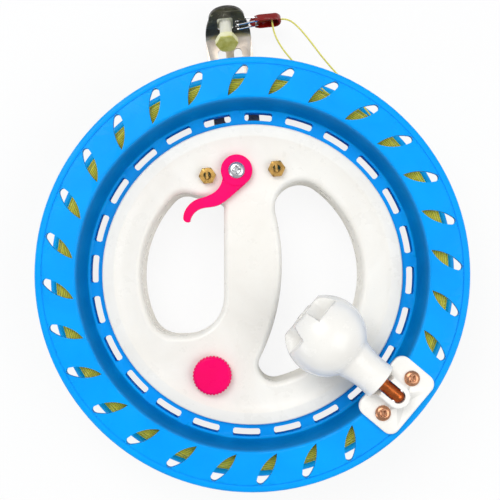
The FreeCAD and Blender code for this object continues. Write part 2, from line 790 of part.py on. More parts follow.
def make_frame():
    cavity = frame_cavity()
    holes = Part.makeCompound([left_hole(0, -1, THROUGH), right_hole(0, -1, THROUGH)])
    front = turned(
        (0, MID_Z),
        (TRACK_R - GROOVE_DEPTH, MID_Z),
        (HUB_R, MID_Z + GROOVE_H),
        (HUB_R, RING_LOW_Z),
        (RING_R, RING_LOW_Z),
        (RING_R, RING_TOP_Z - RING_ROUND),
        (RING_R - RING_ROUND * 0.3, RING_TOP_Z - RING_ROUND * 0.3),
        (RING_R - RING_ROUND, RING_TOP_Z),
        (RING_IN_R + RING_ROUND, RING_TOP_Z),
        (RING_IN_R, RING_TOP_Z - RING_ROUND * 0.4),
        (DISH_R, DISH_Z),
        (0, DISH_Z),
    )
    front = front.cut(holes)
    front = front.makeFillet(HOLE_EDGE_ROUND, hole_edges(front, DISH_Z))
    front = front.cut(cavity)
    stem_hole = STEM_D + 2 * STEM_CLEAR
    cuts = []
    for x, y in ((BRAKE_X, BRAKE_Y), (LOCK_X, LOCK_Y)):
        front = front.fuse(rod(x, y, MID_Z - SLEEVE_DEPTH, DISH_Z - 1, SLEEVE_D))
        cuts.append(rod(x, y, 0, THROUGH, stem_hole))
    for p in bolt_spots():
        cuts.append(rod(p.x, p.y, 0, THROUGH, BOLT_D + 2 * SCREW_CLEAR))
    for p in frame_screw_spots():
        cuts.append(rod(p.x, p.y, 0, MID_Z + FRAME_SCREW_BITE, FRAME_SCREW_D))
    export("frame_front", front.cut(Part.makeCompound(cuts)))

    lip_low = LIP_TOP_Z - BACK_LIP_T
    back = turned(
        (0, 0),
        (FOOT_R - FOOT_ROUND, 0),
        (FOOT_R, FOOT_ROUND),
        (HUB_R, lip_low),
        (RING_R, lip_low),
        (RING_R, LIP_TOP_Z),
        (HUB_R, LIP_TOP_Z),
        (HUB_R, MID_Z - GROOVE_H),
        (TRACK_R - GROOVE_DEPTH, MID_Z),
        (0, MID_Z),
    )
    back = back.cut(holes)
    rims = hole_edges(back, 0)
    back = back.makeChamfer(BACK_EDGE_CUT, rims)
    back = back.cut(cavity)
    cuts = [
        sheet_outline(SHEET_CLEAR, -1, SHEET_TOP_Z),
        shoe_window(BRAKE_ANGLE),
        shoe_window(LOCK_ANGLE),
    ]
    for p in bolt_spots():
        cuts.append(rod(p.x, p.y, 0, THROUGH, BOLT_D + 2 * SCREW_CLEAR))
    for p in frame_screw_spots():
        cuts.append(rod(p.x, p.y, 0, THROUGH, FRAME_SCREW_D + 2 * SCREW_CLEAR))
        cuts.append(rod(p.x, p.y, -1, FRAME_SCREW_SEAT_Z, FRAME_SCREW_HEAD_D + 4 * SCREW_CLEAR))
    export("frame_back", back.cut(cuts))

    screws = []
    for p in frame_screw_spots():
        seat = FRAME_SCREW_SEAT_Z
        head = rod(p.x, p.y, seat - FRAME_SCREW_HEAD_H, seat, FRAME_SCREW_HEAD_D)
        shank = rod(p.x, p.y, seat, MID_Z + FRAME_SCREW_BITE - 0.2, FRAME_SCREW_D)
        screws.append(head.fuse(shank))
    export("frame_screws", group(screws))


# Brake and lock


def lever_arm(z0, z1):
    """The curved thumb lever, with its hub at the brake's pivot."""
    outline = Part.BSplineCurve()
    upper = ((-8.1, 0.6), (-7.3, -4.0), (-9.6, -9.6), (-15.2, -13.4), (-21.4, -15.5), (-26.0, -19.6),
             (-27.7, -24.6))
    lower = ((-24.1, -26.6), (-23.1, -23.7), (-19.8, -20.5), (-11.0, -18.6), (-1.5, -12.3), (4.6, -7.0))
    tip = ((-26.4, -26.9), (-24.1, -26.6))
    outline.interpolate([at(x, y, z0) for x, y in upper])
    inner = Part.BSplineCurve()
    inner.interpolate([at(x, y, z0) for x, y in lower])
    start, end = at(*upper[0], z0), at(*lower[-1], z0)
    edges = [
        outline.toShape(),
        Part.Arc(at(*upper[-1], z0), at(*tip[0], z0), at(*tip[1], z0)).toShape(),
        inner.toShape(),
        Part.LineSegment(end, start).toShape(),
    ]
    arm = Part.Face(Part.Wire(edges)).extrude(Vector(0, 0, z1 - z0))
    return spun(arm, GRIP_TURN)


def shoe(pivot_r, nose):
    """A sliding shoe on the +X radius; nose is the distance from the pivot to its inner end."""
    length_end = PAD_FACE_R - PAD_T
    body = box(pivot_r + nose, length_end + 3, -SHOE_WIDTH / 2, SHOE_WIDTH / 2, SHOE_Z, SHOE_TOP_Z)
    face = Part.makeCylinder(length_end, SHOE_HEIGHT, at(0, 0, SHOE_Z))
    return body.common(face)


def pad(angle):
    """The friction pad on a shoe's end, curved to the wheel's skirt."""
    ring = Part.makeCylinder(PAD_FACE_R, SHOE_HEIGHT - 0.4, at(0, 0, SHOE_Z + 0.2))
    ring = ring.cut(Part.makeCylinder(PAD_FACE_R - PAD_T, SHOE_HEIGHT, at(0, 0, SHOE_Z)))
    slab = box(0, PAD_FACE_R + 1, -PAD_WIDTH / 2, PAD_WIDTH / 2, SHOE_Z, SHOE_TOP_Z)
    return spun(ring.common(slab), angle)


def make_brake():
    stem = rod(BRAKE_X, BRAKE_Y, STEM_LOW_Z, LEVER_LOW_Z + 1, STEM_D)
    hub = rod(BRAKE_X, BRAKE_Y, LEVER_LOW_Z, LEVER_TOP_Z, 2 * LEVER_HUB_R)
    arm = lever_arm(LEVER_LOW_Z, LEVER_TOP_Z - 0.4)
    arm.translate(at(BRAKE_X, BRAKE_Y))
    lever = hub.fuse(arm).removeSplitter()
    rim = [
        e for e in lever.Edges
        if abs(e.BoundBox.ZMin - LEVER_TOP_Z) < 1e-4 and abs(e.BoundBox.ZMax - LEVER_TOP_Z) < 1e-4
    ]
    lever = lever.makeFillet(0.3, rim)
    lever = lever.fuse(stem).cut(rod(BRAKE_X, BRAKE_Y, 0, THROUGH, LEVER_SCREW_D + 2 * SCREW_CLEAR))
    export("brake_lever", lever)

    screw_top = LEVER_TOP_Z + LEVER_SCREW_HEAD_H
    screw = pan_head(BRAKE_X, BRAKE_Y, LEVER_TOP_Z, LEVER_SCREW_HEAD_D, LEVER_SCREW_HEAD_H)
    screw = screw.fuse(rod(BRAKE_X, BRAKE_Y, CRANK_LOW_Z + 0.3, LEVER_TOP_Z, LEVER_SCREW_D))
    screw = screw.cut(cross_recess(BRAKE_X, BRAKE_Y, screw_top, LEVER_SCREW_HEAD_D * 0.5, 1.3))
    export("brake_lever_screw", screw)

    crank = rod(BRAKE_R, 0, CRANK_LOW_Z, STEM_LOW_Z, 2 * CRANK_R)
    crank = crank.fuse(rod(BRAKE_R, -CRANK_THROW, CRANK_LOW_Z - CRANK_PIN_L, CRANK_LOW_Z, CRANK_PIN_D))
    crank = crank.cut(rod(BRAKE_R, 0, 0, THROUGH, LEVER_SCREW_D))
    export("brake_crank", spun(crank, BRAKE_ANGLE))

    body = shoe(BRAKE_R, -SHOE_BACK)
    width = CRANK_PIN_D + 0.1
    reach = (CRANK_SLOT_L - width) / 2
    slot = box(BRAKE_R - width / 2, BRAKE_R + width / 2, -CRANK_THROW - reach, -CRANK_THROW + reach,
               0, THROUGH)
    for side in (-1, 1):
        slot = slot.fuse(rod(BRAKE_R, -CRANK_THROW + side * reach, 0, THROUGH, width))
    export("brake_shoe", spun(body.cut(slot), BRAKE_ANGLE))
    export("brake_pad", pad(BRAKE_ANGLE))


def cam_radius(turn):
    """Radius of the lock's spiral cam, turn radians behind the point that pushes at rest."""
    return LOCK_CAM_R + SHOE_TRAVEL / math.radians(LOCK_TURN) * turn


def make_lock():
    low = LEVER_LOW_Z
    pitch = 2 * math.pi / LOCK_TEETH
    points = []
    for k in range(LOCK_TEETH):
        for part, r in ((0.0, LOCK_KNOB_R - LOCK_TOOTH_DEPTH), (0.3, LOCK_KNOB_R), (0.7, LOCK_KNOB_R)):
            a = (k + part) * pitch
            points.append(at(LOCK_X + r * math.cos(a), LOCK_Y + r * math.sin(a), low))
    knob = Part.Face(Part.makePolygon(points + points[:1])).extrude(Vector(0, 0, LOCK_KNOB_H))
    dome = Part.makeCone(LOCK_KNOB_R + 4.0, LOCK_KNOB_R - 1.2, LOCK_KNOB_H, at(LOCK_X, LOCK_Y, low))
    knob = knob.common(dome)
    knob = knob.fuse(rod(LOCK_X, LOCK_Y, STEM_LOW_Z - 2, low + 1, STEM_D))
    bite = STEM_LOW_Z - 2 + LOCK_SCREW_BITE
    knob = knob.cut(rod(LOCK_X, LOCK_Y, 0, bite + 0.3, LOCK_SCREW_D))
    export("lock_knob", knob)

    cam_z1 = STEM_LOW_Z - 2
    cam_z0 = cam_z1 - LOCK_CAM_T
    start, stop, steps = -0.5, math.radians(LOCK_TURN) + 0.5, 10
    spiral = Part.BSplineCurve()
    turns = [start + (stop - start) * k / steps for k in range(steps + 1)]
    spiral.interpolate([
        at(LOCK_R + cam_radius(t) * math.cos(-t), cam_radius(t) * math.sin(-t), cam_z0) for t in turns
    ])
    first, last = cam_radius(start), cam_radius(stop)
    a, b = at(LOCK_R + first * math.cos(-start), first * math.sin(-start), cam_z0), at(
        LOCK_R + last * math.cos(-stop), last * math.sin(-stop), cam_z0)
    back_turn = math.pi - (stop + start) / 2
    middle = at(LOCK_R + (LOCK_CAM_R - 0.6) * math.cos(back_turn),
                (LOCK_CAM_R - 0.6) * math.sin(back_turn), cam_z0)
    face = Part.Face(Part.Wire([spiral.toShape(), Part.Arc(b, middle, a).toShape()]))
    cam = face.extrude(Vector(0, 0, LOCK_CAM_T))
    cam = cam.cut(rod(LOCK_R, 0, 0, THROUGH, LOCK_SCREW_D + 2 * SCREW_CLEAR))
    export("lock_cam", spun(cam, LOCK_ANGLE))

    screw = rod(LOCK_X, LOCK_Y, cam_z0 - LOCK_SCREW_HEAD_H, cam_z0, LOCK_SCREW_HEAD_D)
    screw = screw.fuse(rod(LOCK_X, LOCK_Y, cam_z0, bite, LOCK_SCREW_D))
    export("lock_cam_screw", screw)

    nose = LOCK_CAM_R + SHOE_CLEAR
    body = shoe(LOCK_R, nose)
    export("lock_shoe", spun(body, LOCK_ANGLE))
    export("lock_pad", pad(LOCK_ANGLE))


# Line guide


def on_hood(x, along, out):
    """A point by its place on the hood: across, up the hood and out of its outer face."""
    a = math.radians(HOOD_ANGLE)
    y = BEND_Y + along * math.cos(a) + out * math.sin(a)
    z = SHEET_LOW_Z + SHEET_T / 2 + along * math.sin(a) - out * math.cos(a)
    return at(x, y, z)


def hood_placement():
    """From a flat frame of (across, along, out) to the hood."""
    out = on_hood(0, 0, 1) - on_hood(0, 0, 0)
    along = on_hood(0, 1, 0) - on_hood(0, 0, 0)
    rotation = Rotation(Vector(1, 0, 0), along, out * -1, "XYZ")
    return Placement(on_hood(0, 0, 0), rotation)


def placed(shape, placement):
    copy = shape.copy()
    copy.transformShape(placement.toMatrix(), True)
    return copy


def make_guide():
    flat = sheet_outline(0, SHEET_LOW_Z, SHEET_TOP_Z)
    gap_in = MID_BAR_W / 2
    gap_out = LEG_HALF_W - LEG_W
    gap_r = (gap_out - gap_in) / 2
    gap_x = (gap_out + gap_in) / 2
    for side in (-1, 1):
        gap = box(side * gap_x - gap_r, side * gap_x + gap_r, LEG_GAP_Y0 + gap_r, LEG_GAP_Y1 - gap_r,
                  -1, THROUGH)
        for y in (LEG_GAP_Y0 + gap_r, LEG_GAP_Y1 - gap_r):
            gap = gap.fuse(rod(side * gap_x, y, -1, THROUGH, 2 * gap_r))
        flat = flat.cut(gap)
    for p in bolt_spots():
        flat = flat.cut(rod(p.x, p.y, -1, THROUGH, BOLT_D + 2 * SCREW_CLEAR))

    half = SHEET_T / 2
    hood = plate(
        (HOOD_HALF_W, 0),
        HOOD_RIGHT_SIDE,
        HOOD_RIGHT_SHOULDER,
        HOOD_CROWN,
        HOOD_LEFT_SHOULDER,
        HOOD_LEFT_SIDE,
        z0=-half,
        z1=half,
    )
    left, right = POST_X - WINDOW_HALF_W, POST_X + WINDOW_HALF_W
    window = box(left, right, WINDOW_LOW, WINDOW_HIGH, -half - 1, half + 1)
    edges = [e for e in window.Edges if abs(e.BoundBox.ZLength - SHEET_T - 2) < 1e-6]
    window = window.makeFillet(WINDOW_CORNER, edges)
    hood = hood.cut(window)
    for along in RING_ALONG:
        hood = hood.cut(rod(RING_X0, along, -half - 1, half + 1, RING_HOLE_D))
    hood = placed(hood, hood_placement())

    bend = Part.makeCylinder(half, 2 * HOOD_HALF_W, on_hood(-HOOD_HALF_W, 0, 0), Vector(1, 0, 0))
    export("guide_bracket", flat.fuse([bend, hood]))

    bolts, nuts = [], []
    for p in bolt_spots():
        end = DISH_Z + NUT_H + BOLT_END
        head = front_face_head(p, SHEET_LOW_Z)
        bolts.append(head.fuse(rod(p.x, p.y, SHEET_LOW_Z, end, BOLT_D)))
        nut = hexagon(p.x, p.y, DISH_Z, DISH_Z + NUT_H, NUT_AF)
        nuts.append(nut.cut(rod(p.x, p.y, 0, THROUGH, BOLT_D)))
    export("guide_bolts", group(bolts))
    export("guide_nuts", group(nuts))


def front_face_head(p, z):
    """A low bolt head that hangs below height z."""
    head = pan_head(0, 0, 0, BOLT_HEAD_D, BOLT_HEAD_H)
    head.rotate(at(0, 0), Vector(1, 0, 0), 180)
    head.translate(at(p.x, p.y, z))
    return head


def make_post():
    half = SHEET_T / 2
    place = hood_placement()
    shank = Part.makeCylinder(POST_D / 2, POST_REACH + SHEET_T + POST_NUT_H + POST_END,
                              at(POST_X, POST_ALONG, -half - POST_NUT_H - POST_END))
    head = hexagon(POST_X, POST_ALONG, half + POST_REACH, half + POST_REACH + POST_HEAD_H, POST_HEAD_AF)
    export("guide_post", placed(shank.fuse(head), place))
    nut = hexagon(POST_X, POST_ALONG, -half - POST_NUT_H, -half, POST_NUT_AF)
    nut = nut.cut(Part.makeCylinder(POST_D / 2, THROUGH, at(POST_X, POST_ALONG, -THROUGH / 2)))
    export("guide_post_nut", placed(nut, place))


def tapered_ring(x0, x1, wide, narrow, along):
    """The centre line of a closed wire ring, wide at x0 and narrowing to an eye at x1."""
    corners = [at(x0, along, -wide), at(x1, along, -narrow), at(x1, along, narrow), at(x0, along, wide)]
    bends = []
    for k, corner in enumerate(corners):
        before = (corners[k - 1] - corner).normalize()
        after = (corners[(k + 1) % 4] - corner).normalize()
        reach = narrow * 0.98
        bends.append((corner + before * reach, corner, corner + after * reach))
    edges = []
    for k, (first, corner, last) in enumerate(bends):
        edges.append(tangent_arc(first, corner, last))
        gap = bends[(k + 1) % 4][0]
        edges.append(Part.LineSegment(last, gap).toShape())
    return Part.Wire(edges[1:] + edges[:1])


def clip_outline(inset, z0, z1):
    """The clip's outline, pointed at the rings' end and round at the other, drawn in by an inset."""
    y0 = sum(RING_ALONG) / 2
    r = CLIP_WIDTH / 2
    q = r - inset
    x0 = CLIP_X0 + inset * 2
    x1 = CLIP_X0 + CLIP_LENGTH
    taper = CLIP_X0 + CLIP_TAPER
    middle = (x0 + taper) / 2 - 0.4
    return plate(
        (x0, y0),
        ((middle, y0 - q * 0.66), (taper, y0 - q)),
        (x1 - r, y0 - q),
        ((x1 - inset, y0), (x1 - r, y0 + q)),
        (taper, y0 + q),
        ((middle, y0 + q * 0.66), (x0, y0)),
        z0=z0,
        z1=z1,
    )


def make_clip():
    place = hood_placement()
    rings = []
    for along, x1, wide in zip(RING_ALONG, RING_X1, RING_WIDE_END):
        path = tapered_ring(RING_X0, x1, wide, RING_EYE_R, along)
        section = line_section(path.Edges[0], RING_WIRE_D, RING_WIRE_SIDES, 0)
        rings.append(placed(path.makePipeShell([section], True, False), place))
    export("clip_rings", group(rings))

    y0 = sum(RING_ALONG) / 2
    half = CLIP_DEPTH / 2
    shell = clip_outline(0, -half, half)
    rims = [e for e in shell.Edges if e.BoundBox.ZLength < 1e-6]
    shell = shell.makeChamfer(CLIP_EDGE, rims)
    shell = shell.cut(clip_outline(CLIP_WALL, CLIP_FLOOR - half, CLIP_DEPTH))
    room = RING_WIRE_D / 2 + SHEET_CLEAR
    for along in RING_ALONG:
        low, high = along - room, along + room
        shell = shell.cut(box(CLIP_X0 - 1, CLIP_SLOT_END, low, high, -CLIP_DEPTH, CLIP_DEPTH))
        shell = shell.cut(box(CLIP_X0 - 1, max(RING_X1) + room, low, high, CLIP_FLOOR - half, CLIP_DEPTH))
    pin_x = min(RING_X1) - RING_WIRE_D / 2 - CLIP_PIN_D / 2 - PIN_CLEAR
    pin_half = CLIP_WIDTH / 2 - SHEET_CLEAR
    pin = Part.makeCylinder(CLIP_PIN_D / 2, 2 * pin_half, at(pin_x, y0 - pin_half, 0), Vector(0, 1, 0))
    shell = shell.cut(pin)
    export("line_clip", placed(shell, place))
    export("clip_pin", placed(pin, place))


# Folding knob


def knob_place():
    """From the flange frame, +X outwards along the knob's radius, to the wheel."""
    return Placement(at(0, 0), Rotation(AXIS_Z, KNOB_ANGLE))


def axle_place():
    """From a frame whose +Z runs up the spindle from the hinge, to the folded knob."""
    tipped = Rotation(Vector(0, 0, 1), Vector(0, 1, 0), Vector(-1, 0, 0), "XYZ")
    fold = Placement(at(HINGE_R, 0, HINGE_Z), tipped)
    return knob_place().multiply(fold)


def make_knob_plate():
    corner = PLATE_CORNER
    w = PLATE_HALF_W
    base = plate(
        (PLATE_R0 + corner, -w),
        (PLATE_R1 - corner, -w),
        quarter(PLATE_R1 - corner, -w + corner, corner, -90, 0),
        (PLATE_R1, w - corner),
        quarter(PLATE_R1 - corner, w - corner, corner, 0, 90),
        (PLATE_R0 + corner, w),
        quarter(PLATE_R0 + corner, w - corner, corner, 90, 180),
        (PLATE_R0, -w + corner),
        quarter(PLATE_R0 + corner, -w + corner, corner, 180, 270),
        z0=FRONT_Z,
        z1=PLATE_TOP_Z,
    )
    rims = [e for e in base.Edges if abs(e.BoundBox.ZMin - PLATE_TOP_Z) < 1e-4]
    base = base.makeChamfer(PLATE_EDGE, rims)
    half_slot = SPINDLE_D / 2 + SPINDLE_SIDE_GAP
    outer = half_slot + CHEEK_T
    top = HINGE_Z + CHEEK_RISE
    cheeks = rod(HINGE_R, 0, FRONT_Z, top, 2 * outer)
    cheeks = cheeks.fuse(box(HINGE_R - CHEEK_REACH, HINGE_R, -outer, outer, FRONT_Z, top))
    rims = [e for e in cheeks.removeSplitter().Edges if abs(e.BoundBox.ZMin - top) < 1e-4]
    cheeks = cheeks.removeSplitter().makeChamfer(CHEEK_EDGE, rims)
    body = base.fuse(cheeks)
    slot = rod(HINGE_R, 0, 0, THROUGH + 10, 2 * half_slot)
    slot = slot.fuse(box(PLATE_R0 - 1, HINGE_R, -half_slot, half_slot, 0, THROUGH + 10))
    pin_hole = Part.makeCylinder(HINGE_PIN_D / 2, 2 * outer + 2, at(HINGE_R, -outer - 1, HINGE_Z),
                                 Vector(0, 1, 0))
    notch = box(PLATE_R0 - 1, HINGE_R - KNOB_START + NECK_ROOM, -KNOB_NECK_R, KNOB_NECK_R, 0, 2 * THROUGH)
    body = body.cut([slot, pin_hole, notch])
    for side in (-1, 1):
        body = body.cut(rod(PLATE_SCREW_R, side * PLATE_SCREW_HALF, 0, THROUGH,
                            PLATE_SCREW_D + 2 * SCREW_CLEAR))
    export("knob_plate", placed(body, knob_place()))

    pin = Part.makeCylinder(HINGE_PIN_D / 2, 2 * outer - 0.6, at(HINGE_R, -outer + 0.3, HINGE_Z),
                            Vector(0, 1, 0))
    export("knob_hinge_pin", placed(pin, knob_place()))

    screws = []
    for side in (-1, 1):
        y = side * PLATE_SCREW_HALF
        head = pan_head(PLATE_SCREW_R, y, PLATE_TOP_Z, PLATE_SCREW_HEAD_D, PLATE_SCREW_HEAD_H)
        low = FRONT_Z - FLANGE_T - PLATE_SCREW_BOSS_H + 1.0
        screw = head.fuse(rod(PLATE_SCREW_R, y, low, PLATE_TOP_Z, PLATE_SCREW_D))
        top = PLATE_TOP_Z + PLATE_SCREW_HEAD_H
        screw = screw.cut(cross_recess(PLATE_SCREW_R, y, top, PLATE_SCREW_HEAD_D * 0.5, 1.1))
        screws.append(placed(screw, knob_place()))
    export("knob_plate_screws", group(screws))


def make_knob():
    place = axle_place()
    end = BALL_CENTRE + KNOB_END
    cup_z = end - KNOB_CUP_DEPTH

    spindle = Part.makeCylinder(SPINDLE_D / 2, cup_z + 0.3, at(0, 0, 0))
    spindle = spindle.fuse(Part.makeSphere(SPINDLE_D / 2, at(0, 0, 0)))
    pin_r = HINGE_PIN_D / 2 + TURN_CLEAR
    spindle = spindle.cut(Part.makeCylinder(pin_r, 20, at(0, -10, 0), Vector(0, 1, 0)))
    spindle = spindle.cut(rod(0, 0, cup_z - KNOB_SCREW_BITE, THROUGH + 20, KNOB_SCREW_D))
    export("knob_spindle", placed(spindle, place))

    bore = SPINDLE_D / 2 + TURN_CLEAR
    end_r = math.sqrt(KNOB_BALL_R ** 2 - KNOB_END ** 2)
    ball_low = BALL_CENTRE - KNOB_BALL_R * math.cos(math.radians(KNOB_MEET_ANGLE))
    ball_low_r = KNOB_BALL_R * math.sin(math.radians(KNOB_MEET_ANGLE))
    soft = KNOB_NECK_ROUND
    knob = turned(
        (bore, KNOB_START),
        (KNOB_NECK_R - soft, KNOB_START),
        quarter(KNOB_NECK_R - soft, KNOB_START + soft, soft, -90, 0),
        ((KNOB_WAIST_R, KNOB_START + KNOB_WAIST_RISE), (ball_low_r, ball_low)),
        ((KNOB_BALL_R, BALL_CENTRE), (end_r, end)),
        (KNOB_CUP_R, end),
        (KNOB_CUP_R, cup_z),
        (bore, cup_z),
    )
    wedge = math.radians(POCKET_ARC / 2)
    far = KNOB_BALL_R * 2
    floor_z = end - POCKET_DEPTH
    pocket = plate(
        (POCKET_IN_R * math.cos(wedge), -POCKET_IN_R * math.sin(wedge)),
        (far * math.cos(wedge), -far * math.sin(wedge)),
        (far * math.cos(wedge), far * math.sin(wedge)),
        (POCKET_IN_R * math.cos(wedge), POCKET_IN_R * math.sin(wedge)),
        z0=floor_z,
        z1=end + 1,
    )
    first = POCKET_FIRST
    pockets = [spun(pocket, first + 360.0 * k / POCKET_COUNT) for k in range(POCKET_COUNT)]
    knob = knob.cut(Part.makeCompound(pockets))
    export("winding_knob", placed(knob, place))

    washer = rod(0, 0, cup_z + WASHER_LIFT, cup_z + WASHER_LIFT + KNOB_WASHER_T, KNOB_WASHER_D)
    washer = washer.cut(rod(0, 0, 0, THROUGH + 20, KNOB_SCREW_D + 2 * SCREW_CLEAR))
    export("knob_washer", placed(washer, place))
    seat = cup_z + WASHER_LIFT + KNOB_WASHER_T
    screw = pan_head(0, 0, seat, KNOB_SCREW_HEAD_D, KNOB_SCREW_HEAD_H)
    screw = screw.fuse(rod(0, 0, cup_z - KNOB_SCREW_BITE + 0.5, seat, KNOB_SCREW_D))
    screw = screw.cut(cross_recess(0, 0, seat + KNOB_SCREW_HEAD_H, KNOB_SCREW_HEAD_D * 0.5, 1.1))
    export("knob_screw", placed(screw, place))


# Line


def make_pack():
    low = RIM_LIFT + FLANGE_T
    gap = PACK_SIDE_GAP
    height = MID_Z - low
    side_r = DRUM_MID_R + (DRUM_TOP_R - DRUM_MID_R) * (height - gap) / (HALF_W - FLANGE_T)
    shoulder = PACK_SHOULDER
    core = turned(
        (DRUM_MID_R, MID_Z),
        (side_r, low + gap),
        (PACK_R - shoulder, low + gap),
        (PACK_R - 0.3 * shoulder, low + gap + 0.3 * shoulder),
        (PACK_R, low + gap + shoulder),
        (PACK_R, 2 * MID_Z - low - gap - shoulder),
        (PACK_R - 0.3 * shoulder, 2 * MID_Z - low - gap - 0.3 * shoulder),
        (PACK_R - shoulder, 2 * MID_Z - low - gap),
        (side_r, 2 * MID_Z - low - gap),
    )
    for p in plate_screw_spots():
        room = PLATE_SCREW_BOSS_D + 2 * gap
        boss_low = FRONT_Z - FLANGE_T - PLATE_SCREW_BOSS_H
        core = core.cut(rod(p.x, p.y, boss_low - gap, FRONT_Z, room))
    export("line_core", core)

    wind_r = PACK_R + LINE_D / 2 + WIND_SIT
    z0 = low + gap + shoulder + LINE_D / 2
    z1 = 2 * MID_Z - z0
    pitch = (z1 - z0) / WIND_TURNS
    path, points = helix_arcs(wind_r, z0, pitch, WIND_TURNS, WIND_START)
    section = line_section(path.Edges[0], LINE_D, 4, 45)
    winding = path.makePipeShell([section], True, False)
    export("line_winding", winding)
    gap_found = least_gap(points, LINE_D)
    print("winding: turns", WIND_TURNS, "least gap to itself", round(gap_found, 3))


def helix_arcs(radius, z0, pitch, turns, start):
    """A helix as half-turn biarcs, and points along it for measuring."""
    edges, points = [], []
    slope = pitch / (2 * math.pi)

    def spot(t):
        a = math.radians(start) + t
        return at(radius * math.cos(a), radius * math.sin(a), z0 + slope * t)

    def heading(t):
        a = math.radians(start) + t
        return at(-radius * math.sin(a), radius * math.cos(a), slope).normalize()

    for k in range(2 * turns):
        t0, t1 = math.pi * k, math.pi * (k + 1)
        p0, p1, h0, h1 = spot(t0), spot(t1), heading(t0), heading(t1)
        chord, both = p1 - p0, h0 + h1
        a, b, c = both.dot(both) - 4, -2 * chord.dot(both), chord.dot(chord)
        reach = (-b - math.sqrt(b * b - 4 * a * c)) / (2 * a)
        q0, q1 = p0 + h0 * reach, p1 - h1 * reach
        joint = (q0 + q1) * 0.5
        for first, corner, last in ((p0, q0, joint), (joint, q1, p1)):
            edges.append(tangent_arc(first, corner, last))
    for edge in edges:
        step = (edge.LastParameter - edge.FirstParameter) / 12
        points.append([edge.valueAt(edge.FirstParameter + step * i) for i in range(12)])
    first, last, t_end = spot(0), spot(2 * math.pi * turns), 2 * math.pi * turns
    edges.insert(0, Part.LineSegment(first - heading(0) * LINE_D, first).toShape())
    edges.append(Part.LineSegment(last, last + heading(t_end) * LINE_D).toShape())
    return Part.Wire(edges), points


def tangent_arc(first, corner, last):
    """The arc from first to last whose tangents meet at corner."""
    middle = (first + last) * 0.5
    rise = (corner - middle).Length
    half = (last - first).Length / 2
    angle = math.atan2(rise, half)
    sagitta = half * math.tan(angle / 2)
    return Part.Arc(first, middle + (corner - middle) * (sagitta / rise), last).toShape()


def line_section(edge, diameter, sides, first):
    """A many-sided section of the line, square to the start of its path, as wide as its diameter."""
    start = edge.valueAt(edge.FirstParameter)
    along = edge.tangentAt(edge.FirstParameter)
    side = along.cross(AXIS_Z).normalize()
    up = side.cross(along)
    r = diameter / 2 / math.cos(math.pi / sides) if sides == 4 else diameter / 2
    corners = []
    for k in range(sides):
        a = math.radians(first + 360.0 * k / sides)
        corners.append(start + side * (r * math.cos(a)) + up * (r * math.sin(a)))
    return Part.makePolygon(corners + corners[:1])


def least_gap(points, diameter):
    """The least distance between neighbouring turns, less the line's own diameter."""
    per_turn = 4
    least = THROUGH
    for k in range(len(points) - per_turn):
        for p in points[k]:
            for group_points in points[k + per_turn - 1:k + per_turn + 2]:
                for q in group_points:
                    if abs(math.atan2(p.y, p.x) - math.atan2(q.y, q.x)) < 0.5:
                        least = min(least, (p - q).Length)
    return least - diameter


def strand(name, route):
    """A loose strand of line: straight runs joined by tangent arcs."""
    points = [at(*p) for p in route]
    edges, here, radii = [], points[0], []
    for k in range(1, len(points) - 1):
        before, after = points[k] - points[k - 1], points[k + 1] - points[k]
        turn = before.getAngle(after)
        radius = 0.45 * min(before.Length, after.Length) / math.tan(turn / 2)
        radii.append(round(radius, 1))
        trim = radius * math.tan(turn / 2)
        first = points[k] - before.normalize() * trim
        last = points[k] + after.normalize() * trim
        edges.append(Part.LineSegment(here, first).toShape())
        edges.append(tangent_arc(first, points[k], last))
        here = last
    edges.append(Part.LineSegment(here, points[-1]).toShape())
    path = Part.Wire(edges)
    section = line_section(path.Edges[0], STRAND_D, STRAND_SIDES, 0)
    tube = path.makePipeShell([section], True, False)
    area = STRAND_SIDES / 2 * (STRAND_D / 2) ** 2 * math.sin(2 * math.pi / STRAND_SIDES)
    ideal = area * path.Length
    ratio = round(tube.Volume / ideal, 4)
    print(name, "length", round(path.Length, 1), "radii", radii, "volume ratio", ratio)
    export(name, tube)


os.makedirs("parts", exist_ok=True)
make_wheel()
make_race()
make_frame()
make_brake()
make_lock()
make_guide()
make_post()
make_clip()
make_knob_plate()
make_knob()
make_pack()
strand("line_strand_left", LEFT_ROUTE)
strand("line_strand_right", RIGHT_ROUTE)
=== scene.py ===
import json
import math

import bpy
import numpy as np
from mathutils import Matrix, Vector


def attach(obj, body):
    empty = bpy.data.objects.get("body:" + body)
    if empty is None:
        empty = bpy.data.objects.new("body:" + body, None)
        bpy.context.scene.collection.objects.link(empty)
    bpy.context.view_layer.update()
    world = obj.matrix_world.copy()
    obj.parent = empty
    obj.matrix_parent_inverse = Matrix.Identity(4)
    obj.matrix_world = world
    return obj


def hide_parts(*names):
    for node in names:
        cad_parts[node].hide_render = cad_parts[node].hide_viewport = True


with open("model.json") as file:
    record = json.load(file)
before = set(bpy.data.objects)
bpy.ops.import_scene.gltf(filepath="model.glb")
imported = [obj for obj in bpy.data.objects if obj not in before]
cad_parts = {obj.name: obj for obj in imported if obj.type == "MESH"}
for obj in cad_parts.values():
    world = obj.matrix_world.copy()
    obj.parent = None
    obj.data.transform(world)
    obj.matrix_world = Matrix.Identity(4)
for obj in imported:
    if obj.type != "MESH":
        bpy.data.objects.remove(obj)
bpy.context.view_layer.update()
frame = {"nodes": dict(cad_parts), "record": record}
scene = bpy.context.scene

MM = 1000.0

# The view looks straight down the wheel's axis, with the line guide leaning left of up.
# Lengths are in metres, the roll in degrees, the wheel's centre in pixels of the picture.
CAMERA_Z = 0.529
VIEW_WIDTH = 0.2515
VIEW_DISTANCE = 0.480
ROLL = 5.8
CENTRE_PX = (252.4, 274.5)
PICTURE_PX = 500.0
SENSOR_MM = 36.0
NEAR, FAR = 0.01, 20.0

